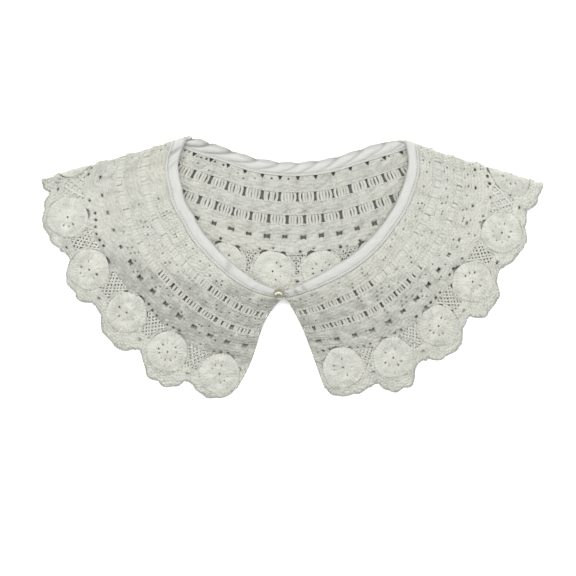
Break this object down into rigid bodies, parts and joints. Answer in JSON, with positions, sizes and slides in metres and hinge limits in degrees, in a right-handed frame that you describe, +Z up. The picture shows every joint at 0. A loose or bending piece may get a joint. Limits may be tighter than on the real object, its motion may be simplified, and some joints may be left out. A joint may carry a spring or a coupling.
{
  "type": "crocheted lace collar",
  "caption": "Detachable crocheted lace collar with round medallions along a scalloped hem, satin-bound neck and a pearl button, buttoned and laid flat",
  "frame": {"origin": "centre of the bounding box in X and Y, on the surface that the collar lies on in Z", "axes": "+X towards the right end in plan, +Y towards the back of the neck, +Z up from the surface"},
  "size_m": [0.4205, 0.2192, 0.0177],
  "materials": {
    "crochet": "crocheted cotton, off-white",
    "binding": "white satin tape",
    "pearl": "pearl lustre, cream",
    "thread": "cotton thread"
  },
  "bodies": {
    "root": {"yoke": "crochet", "neck_binding": "binding", "button": "pearl", "button_loop": "thread", "medallion_01": "crochet", "medallion_02": "crochet", "medallion_03": "crochet", "medallion_04": "crochet", "medallion_05": "crochet", "medallion_06": "crochet", "medallion_07": "crochet", "medallion_08": "crochet", "medallion_09": "crochet", "medallion_10": "crochet", "medallion_11": "crochet", "medallion_12": "crochet", "medallion_13": "crochet", "medallion_14": "crochet", "medallion_15": "crochet", "medallion_16": "crochet", "medallion_17": "crochet", "medallion_18": "crochet", "medallion_19": "crochet", "medallion_20": "crochet"}
  },
  "joints": []
}
